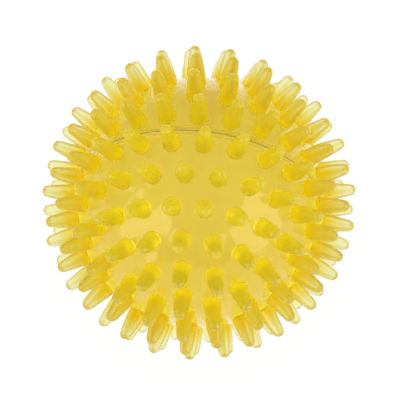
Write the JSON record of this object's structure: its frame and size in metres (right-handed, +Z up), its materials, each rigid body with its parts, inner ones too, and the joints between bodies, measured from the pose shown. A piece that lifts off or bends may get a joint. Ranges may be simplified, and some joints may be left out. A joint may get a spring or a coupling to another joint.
{
  "type": "sensory ball",
  "caption": "Hollow ball of soft hazy-clear yellow vinyl covered in blunt moulded spikes, as welded half shells with a push-in air valve at the back pole, for rolling and squeezing.",
  "frame": {"origin": "centre of the ball", "axes": "+Y along the mould axis, from the front pole to the valve at the back pole; +Z up as the ball lies; +X to the right seen from the front"},
  "size_m": [0.099, 0.0986, 0.0992],
  "materials": {
    "spiked_vinyl": "soft hazy-clear yellow vinyl, glossy on the spikes and satin on the body",
    "weld_vinyl": "welded yellow vinyl band",
    "valve_vinyl": "soft hazy-clear vinyl bush",
    "plug_vinyl": "soft milky vinyl plug"
  },
  "bodies": {
    "ball": {"front_shell": "spiked_vinyl", "back_shell": "spiked_vinyl", "seam_band": "weld_vinyl", "valve_bush": "valve_vinyl"},
    "plug": {"valve_plug": "plug_vinyl"}
  },
  "joints": [
    {"name": "plug_pull", "type": "slide", "parent": "ball", "child": "plug", "axis": [0, 1, 0], "range_m": [0, 0.012]}
  ]
}
